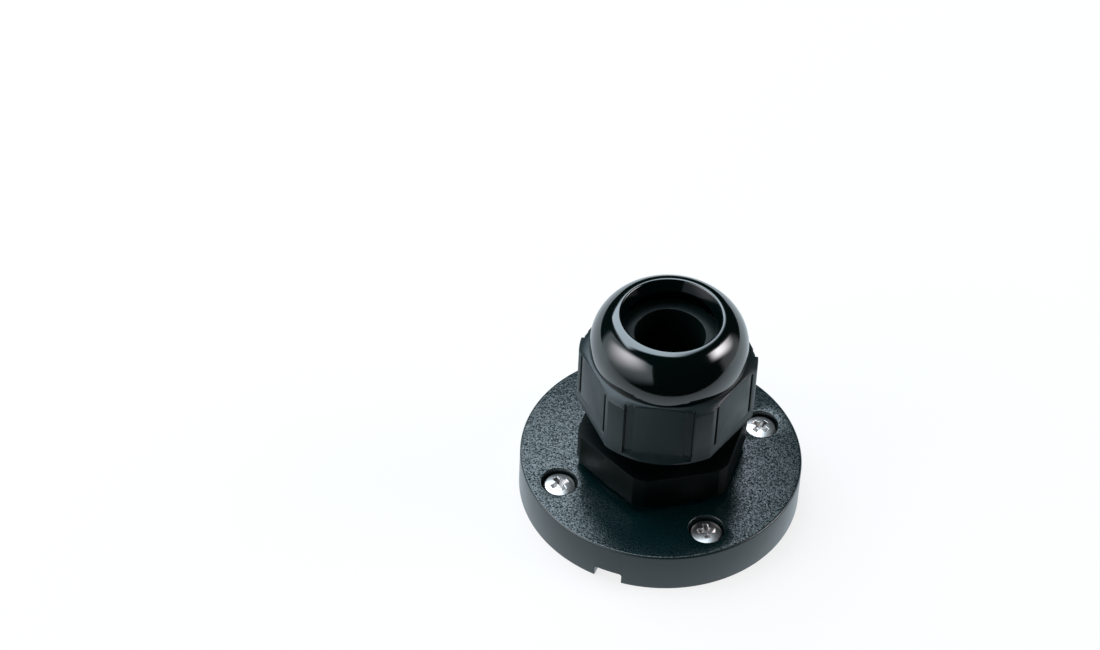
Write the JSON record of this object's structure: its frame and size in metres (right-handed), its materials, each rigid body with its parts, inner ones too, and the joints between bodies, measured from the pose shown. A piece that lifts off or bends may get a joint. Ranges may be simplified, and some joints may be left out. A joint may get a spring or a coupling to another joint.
{
  "type": "cable entry grommet",
  "caption": "Black round flange plate with recessed pan-head screws and a domed cable gland: hexagon, threaded neck, clamping fingers, rubber seal and turnable nut.",
  "frame": {"origin": "centre of the plate's underside, on the gland's axis", "axes": "+Z along the gland's axis towards the dome, -Y towards the notch in the plate's rim"},
  "size_m": [0.05, 0.05, 0.0421],
  "materials": {
    "grained_nylon": "fine spark-eroded grain on top, smooth satin side wall",
    "satin_nylon": "satin moulded",
    "gloss_nylon": "gloss on the dome, satin on the flats",
    "black_rubber": "dull",
    "stainless_steel": "bright, plain"
  },
  "bodies": {
    "mounted_body": {"flange_plate": "grained_nylon", "screw_1": "stainless_steel", "screw_2": "stainless_steel", "screw_3": "stainless_steel", "screw_4": "stainless_steel", "hex_gasket": "black_rubber", "gland_body": "satin_nylon", "lock_nut": "satin_nylon", "sealing_insert": "black_rubber"},
    "nut": {"dome_nut": "gloss_nylon"}
  },
  "joints": [
    {"name": "nut_turn", "type": "hinge", "parent": "mounted_body", "child": "nut", "pos_m": [0, 0, 0.0239], "axis": [0, 0, 1], "range_deg": [-1200, 1536]}
  ]
}
